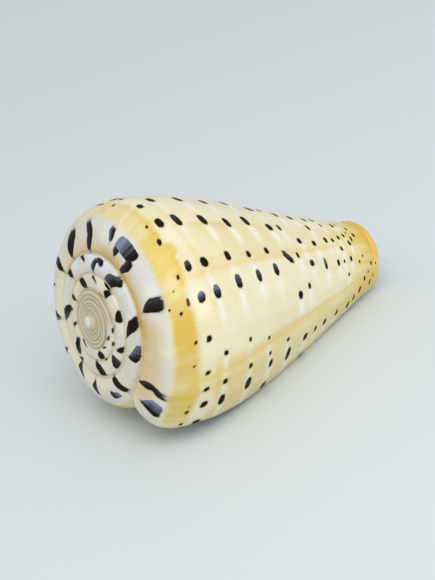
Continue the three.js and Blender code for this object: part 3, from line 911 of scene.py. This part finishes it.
def porcelain():
    material = bpy.data.materials.new("glossy shell")
    material.use_nodes = True
    nodes, links = material.node_tree.nodes, material.node_tree.links
    shader = nodes["Principled BSDF"]

    def attribute(name):
        node = nodes.new("ShaderNodeAttribute")
        node.attribute_name = name
        split = nodes.new("ShaderNodeSeparateXYZ")
        links.new(node.outputs["Vector"], split.inputs[0])
        return node.outputs["Vector"], split.outputs

    def calculate(kind, first, second=None, third=None):
        node = nodes.new("ShaderNodeMath")
        node.operation = kind
        for socket, value in zip(node.inputs, (first, second, third)):
            if isinstance(value, (int, float)):
                socket.default_value = value
            elif value is not None:
                links.new(value, socket)
        return node.outputs[0]

    def add(first, second):
        return calculate("ADD", first, second)

    def times(first, second):
        return calculate("MULTIPLY", first, second)

    def timesAdd(value, factor, more):
        return calculate("MULTIPLY_ADD", value, factor, more)

    def oneLess(value):
        return calculate("SUBTRACT", 1.0, value)

    def blend(amount, first, second):
        node = nodes.new("ShaderNodeMix")
        node.data_type = "RGBA"
        for socket, value in ((node.inputs[0], amount), (node.inputs[6], first), (node.inputs[7], second)):
            if isinstance(value, tuple):
                socket.default_value = value + (1.0,)
            else:
                links.new(value, socket)
        return node.outputs[2]

    def noise(name):
        byDegree, byMm, detail, rough = grain[name]
        mapping = nodes.new("ShaderNodeMapping")
        mapping.inputs["Scale"].default_value = (byDegree, byMm, 0.0)
        links.new(grown, mapping.inputs["Vector"])
        node = nodes.new("ShaderNodeTexNoise")
        node.inputs["Scale"].default_value = 1.0
        node.inputs["Detail"].default_value = detail
        node.inputs["Roughness"].default_value = rough
        links.new(mapping.outputs[0], node.inputs["Vector"])
        return node.outputs["Fac"]

    def between(value, low, high):
        node = nodes.new("ShaderNodeMapRange")
        node.interpolation_type = "SMOOTHSTEP"
        node.inputs["From Min"].default_value = low
        node.inputs["From Max"].default_value = high
        links.new(value, node.inputs["Value"])
        return node.outputs[0]

    along, across, halfMm = attribute("mark")[1]
    glaze, brown, boxy = attribute("kind")[1]
    toneYellow, toneWhiteAndHighlight, toneOrange = attribute("tones")[1]
    lineParts = attribute("lines")[1]
    grown, (back, down, bare) = attribute("places")

    growthLines = noise("growthLines")
    growthBands = noise("growthBands")
    spiralLines = noise("spiralLines")
    clouds = noise("clouds")
    speckle = noise("speckle")

    # Ground colour: cream to yellow, paled by white, brightened by a painted bluish-white highlight, and
    # warmed by orange, all uneven.
    uneven = timesAdd(clouds, 0.9, 0.55)
    streaked = timesAdd(growthLines, 0.9, 0.55)
    banded = timesAdd(growthBands, 0.8, 0.6)
    yellow = times(times(toneYellow, uneven), times(streaked, banded))
    colour = blend(yellow, tints["cream"], tints["yellow"])
    paled = between(timesAdd(growthLines, 0.2, times(clouds, 0.8)), 0.2, 0.6)
    pale = blend(between(down, 13.0, 16.0), tints["ivory"], tints["chalk"])
    colour = blend(times(calculate("MINIMUM", toneWhiteAndHighlight, 1.0), paled), colour, pale)
    # Painted highlight: bluish white, from the part of the white tone above 0.8.
    highlighted = times(calculate("SUBTRACT", toneWhiteAndHighlight, 0.8), between(growthBands, 0.1, 0.5))
    highlighted = calculate("MAXIMUM", calculate("MINIMUM", highlighted, 0.9), 0.0)
    colour = blend(highlighted, colour, tints["paintedHighlight"])
    warmed = times(toneOrange, timesAdd(growthBands, 0.7, 0.65))
    colour = blend(warmed, colour, tints["orange"])

    # Growth-pause lines, a thin strong core in a soft glow, wandering by up to about a degree.
    wobble = times(calculate("SUBTRACT", noise("wobble"), 0.5), 3.0)
    for line, look in zip(lineParts, lineLooks):
        away = calculate("ABSOLUTE", add(line, wobble))
        core = times(oneLess(between(away, 0.2, 1.5)), look["core"])
        glow = times(oneLess(between(away, 0.4, 4.5)), look["glow"])
        fade = times(between(down, look["from"], look["from"] + 3.0),
                     oneLess(between(down, look["to"] - 6.0, look["to"])))
        strength = times(times(add(core, glow), fade), timesAdd(speckle, 0.6, 0.7))
        colour = blend(strength, colour, tints["line"])

    # Bare centre: tan, paler on the crests of the relief's threads and darker in their grooves as painted
    # shade, and a pale knob, partly a painted highlight.
    threadPitch = 2.0 * math.pi * relief["threadsPerRamp"] / perPlace["grainAbove"]
    # Pale on the thread crests and dark in the grooves, in step with the relief: painted shade.
    threads = timesAdd(calculate("SINE", times(down, threadPitch)), 0.35, spiralLines)
    tanWithThreadShade = blend(between(threads, 0.15, 0.75), tints["tan"], tints["paleTan"])
    colour = blend(bare, colour, tanWithThreadShade)
    # Pale knob at the apex: partly its own pale colour, partly a painted highlight.
    colour = blend(between(back, 2730.0, 2830.0), colour, tints["knob"])

    # Dark marks: the distance from the edge in mm, where the edge is a superellipse, ragged
    # where growth lines end.
    def powered(value):
        return calculate("POWER", calculate("ABSOLUTE", value), boxy)

    size = calculate("POWER", add(powered(along), powered(across)), calculate("DIVIDE", 1.0, boxy))
    edge = times(calculate("SUBTRACT", size, 1.0), halfMm)
    edge = timesAdd(calculate("SUBTRACT", growthLines, 0.5), markLooks["ragged"], edge)
    edge = timesAdd(calculate("SUBTRACT", speckle, 0.5), markLooks["speckled"], edge)

    # Flames have a bluish fringe on their older side, and every mark a warm haze.
    flame = between(boxy, 3.0, 4.0)
    olderSide = times(between(along, 0.2, 1.2), flame)
    fringe = times(times(times(glaze, 0.5), olderSide), oneLess(between(edge, *markLooks["fringe"])))
    colour = blend(fringe, colour, tints["fringe"])
    haze = times(oneLess(between(edge, *markLooks["haze"])), timesAdd(glaze, -0.3, 0.35))
    colour = blend(haze, colour, tints["halo"])

    # The dark itself, veiled by pale glaze from its older side.
    solid = oneLess(between(edge, *markLooks["solid"]))
    dark = blend(brown, tints["black"], tints["brown"])
    side = between(timesAdd(growthLines, 1.6, times(along, 0.8)), 0.3, 1.7)
    veil = times(times(glaze, side), oneLess(between(edge, *markLooks["veil"])))
    veil = times(veil, timesAdd(flame, 0.3, 0.7))
    dark = blend(veil, dark, tints["glaze"])
    colour = blend(solid, colour, dark)
    links.new(colour, shader.inputs["Base Color"])

    # Glossy, but duller on the marks and where the shell is bare.
    rough = timesAdd(clouds, finish["cloudRoughness"], finish["roughness"])
    rough = timesAdd(bare, finish["bareRoughness"], rough)
    specular = timesAdd(solid, finish["markSpecular"] - finish["specular"], finish["specular"])
    coat = timesAdd(solid, finish["markCoat"] - finish["coat"], finish["coat"])
    links.new(rough, shader.inputs["Roughness"])
    links.new(specular, shader.inputs["Specular IOR Level"])
    links.new(coat, shader.inputs["Coat Weight"])
    shader.inputs["Coat Roughness"].default_value = finish["coatRoughness"]
    shader.inputs["Subsurface Weight"].default_value = finish["subsurface"]
    shader.inputs["Subsurface Radius"].default_value = finish["subsurfaceRadius"]
    shader.inputs["Subsurface Scale"].default_value = finish["subsurfaceScale"]

    # Growth lines, spiral lines, and low cords towards the narrow end.
    cords = times(calculate("SINE", times(down, finish["cordsPerMm"])),
                  between(down, finish["cordsFrom"], finish["cordsFull"]))
    fine = add(times(noise("fineGrowth"), 0.8), times(noise("fineSpiral"), 0.3))
    fine = timesAdd(cords, 0.12, fine)
    bumps = nodes.new("ShaderNodeBump")
    bumps.inputs["Strength"].default_value = finish["bump"]
    bumps.inputs["Distance"].default_value = finish["bumpDepth"]
    links.new(fine, bumps.inputs["Height"])
    links.new(bumps.outputs[0], shader.inputs["Normal"])
    return material


mesh.materials.append(porcelain())
print("glossy shell applied")

# Camera, in millimetres and in the shell's own resting frame.
view = {
    "position": (136.96, 226.8, 148.32),
    "forward": (-0.4539, -0.7681, -0.4516),
    "up": (-0.4452, -0.2435, 0.8617),
    "lens": 96.91,
    "sensor": 36.0,
}


def addCamera():
    forward = Vector(view["forward"]).normalized()
    up = Vector(view["up"])
    right = forward.cross(up).normalized()
    up = right.cross(forward)
    camera = bpy.data.objects.new("camera", bpy.data.cameras.new("camera"))
    bpy.context.collection.objects.link(camera)
    turned = Matrix((right, up, -forward)).transposed().to_4x4()
    camera.matrix_world = Matrix.Translation(Vector(view["position"]) * metres) @ turned
    camera.data.lens = view["lens"]
    camera.data.sensor_width = view["sensor"]
    camera.data.clip_start = 0.01
    bpy.context.scene.camera = camera


# Plain floor and room, in metres, and two windows aimed at the shell.
room = {"floorHalf": 3.0, "floor": (0.66, 0.71, 0.72), "floorRoughness": 0.6,
        "air": (0.96, 0.98, 1.0), "airStrength": 0.67, "aim": (0.0, 0.0, 0.02)}
windows = {
    "window": {"size": 0.70, "watts": 2.9, "position": (0.12, 0.37, 0.60)},
    "low window": {"size": 0.22, "watts": 0.44, "position": (-0.24, 0.54, 0.17)},
}


def addFloor():
    half = room["floorHalf"]
    floorMesh = bpy.data.meshes.new("floor")
    floorMesh.from_pydata([(-half, -half, 0), (half, -half, 0), (half, half, 0), (-half, half, 0)],
                          [], [(0, 1, 2, 3)])
    floor = bpy.data.objects.new("floor", floorMesh)
    bpy.context.collection.objects.link(floor)
    floorMaterial = bpy.data.materials.new("floor")
    floorMaterial.use_nodes = True
    shader = floorMaterial.node_tree.nodes["Principled BSDF"]
    shader.inputs["Base Color"].default_value = room["floor"] + (1.0,)
    shader.inputs["Roughness"].default_value = room["floorRoughness"]
    floorMesh.materials.append(floorMaterial)


def addRoom():
    world = bpy.data.worlds.new("room")
    world.use_nodes = True
    background = world.node_tree.nodes["Background"]
    background.inputs["Color"].default_value = room["air"] + (1.0,)
    background.inputs["Strength"].default_value = room["airStrength"]
    bpy.context.scene.world = world
    bpy.context.scene.view_settings.view_transform = "Standard"


def addWindow(name, look):
    data = bpy.data.lights.new(name, "AREA")
    data.size = look["size"]
    data.energy = look["watts"]
    lamp = bpy.data.objects.new(name, data)
    bpy.context.collection.objects.link(lamp)
    lamp.location = look["position"]
    towards = Vector(room["aim"]) - Vector(look["position"])
    lamp.rotation_euler = towards.to_track_quat("-Z", "Y").to_euler()


addCamera()
addFloor()
addRoom()
for name, look in windows.items():
    addWindow(name, look)
print("camera, floor and", len(windows), "windows placed")
